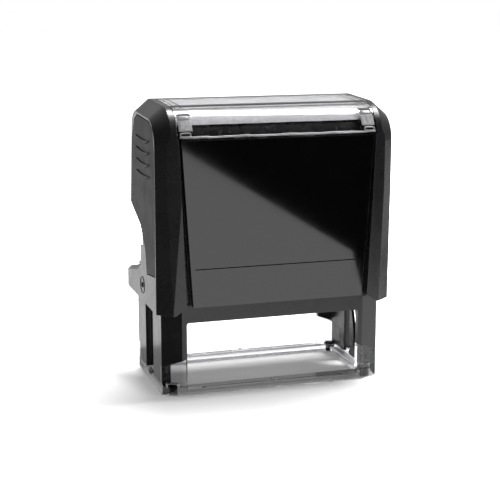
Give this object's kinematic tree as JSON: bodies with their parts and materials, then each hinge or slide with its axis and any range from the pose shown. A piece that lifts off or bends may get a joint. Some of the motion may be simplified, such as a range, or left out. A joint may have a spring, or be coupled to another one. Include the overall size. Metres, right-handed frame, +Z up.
{
  "type": "self-inking stamp",
  "caption": "Pocket-size self-inking text stamp: a sprung cap pushes down on a clear-based frame and turns the print plate from the ink pad to the paper.",
  "frame": {"origin": "middle of the whole stamp's footprint, at the height of the paper; the axle is 1.3 mm behind it", "axes": "+Z up along the cap's travel, -Y to the front panel, +X to the right seen from the front"},
  "size_m": [0.074, 0.0442, 0.0871],
  "materials": {
    "black_matt": "fine matt texture, moulded",
    "smoke_clear": "clear, lightly smoked, moulded polystyrene",
    "black_rubber": "matt rubber",
    "cartridge_plastic": "semi-matt moulded",
    "ink_felt": "damp inked felt",
    "carrier_plastic": "semi-matt moulded",
    "foam": "closed-cell adhesive foam",
    "die_rubber": "laser-cut rubber",
    "cap_matt": "fine matt texture, moulded",
    "black_gloss": "high gloss",
    "card": "matt card",
    "window_clear": "clear, polished",
    "grip_matt": "soft matt",
    "spring_steel": "zinc-plated spring wire"
  },
  "bodies": {
    "frame": {"lower_frame": "black_matt", "clear_base": "smoke_clear", "rubber_foot_front_left": "black_rubber", "rubber_foot_front_right": "black_rubber", "rubber_foot_rear_left": "black_rubber", "rubber_foot_rear_right": "black_rubber", "ink_cartridge": "cartridge_plastic", "ink_pad": "ink_felt"},
    "cap": {"cap_shell": "cap_matt", "front_panel": "black_gloss", "front_band": "black_gloss", "rear_panel": "black_gloss", "sample_card": "card", "top_window": "window_clear", "return_spring": "spring_steel"},
    "carrier": {"plate_carrier": "carrier_plastic", "mount_foam": "foam", "text_die": "die_rubber"},
    "lever_left": {"lock_lever_left": "grip_matt"},
    "lever_right": {"lock_lever_right": "grip_matt"}
  },
  "joints": [
    {"name": "cap_press", "type": "slide", "parent": "frame", "child": "cap", "axis": [0, 0, -1], "range_m": [0, 0.024], "stiffness_N_per_m": 400, "springref_m": -0.015, "deforming": ["return_spring"]},
    {"name": "carrier_flip", "type": "hinge", "parent": "cap", "child": "carrier", "pos_m": [0, 0.00133, 0.031], "axis": [1, 0, 0], "range_deg": [0, 180]},
    {"name": "lever_left_press", "type": "hinge", "parent": "cap", "child": "lever_left", "pos_m": [-0.03545, 0.00133, 0.05], "axis": [0, 1, 0], "range_deg": [0, 2], "stiffness_Nm_per_rad": 0.5, "springref_deg": -0.57},
    {"name": "lever_right_press", "type": "hinge", "parent": "cap", "child": "lever_right", "pos_m": [0.03545, 0.00133, 0.05], "axis": [0, -1, 0], "range_deg": [0, 2], "stiffness_Nm_per_rad": 0.5, "springref_deg": -0.57}
  ],
  "couplings": [
    {"joint": "carrier_flip", "follows": "cap_press", "rad_per_m": 130.9}
  ]
}
